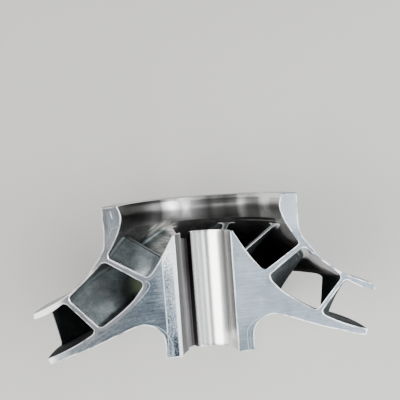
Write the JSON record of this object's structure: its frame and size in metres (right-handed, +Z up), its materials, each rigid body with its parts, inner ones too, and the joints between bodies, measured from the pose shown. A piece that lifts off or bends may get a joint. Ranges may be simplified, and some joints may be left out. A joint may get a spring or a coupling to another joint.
{
  "type": "impeller",
  "caption": "Closed mixed-flow impeller cut lengthwise: hub with keyed shaft bore, curved shroud with eye ring, and twisted blades between, lying cut face up.",
  "frame": {"origin": "on the floor, under the middle of the piece's bounding box as it lies cut face up", "axes": "+X across the cut face at right angles to the shaft axis, +Y level and towards the eye, along which the shaft axis rises at 13.6 degrees, +Z up"},
  "size_m": [0.4298, 0.2186, 0.2384],
  "materials": {
    "hub": "machined steel, bright and finely scratched",
    "shroud": "machined steel, bright and finely scratched",
    "blade_right_outer": "ground steel, dull blue-grey",
    "blade_right_inner": "ground steel, dull blue-grey",
    "blade_lower_right": "ground steel, dull blue-grey",
    "blade_lower_left": "ground steel, dull blue-grey",
    "blade_left_outer": "ground steel, dull blue-grey",
    "blade_left_inner": "ground steel, dull blue-grey"
  },
  "bodies": {
    "root": {"hub": "hub", "shroud": "shroud", "blade_right_outer": "blade_right_outer", "blade_right_inner": "blade_right_inner", "blade_lower_right": "blade_lower_right", "blade_lower_left": "blade_lower_left", "blade_left_outer": "blade_left_outer", "blade_left_inner": "blade_left_inner"}
  },
  "joints": []
}
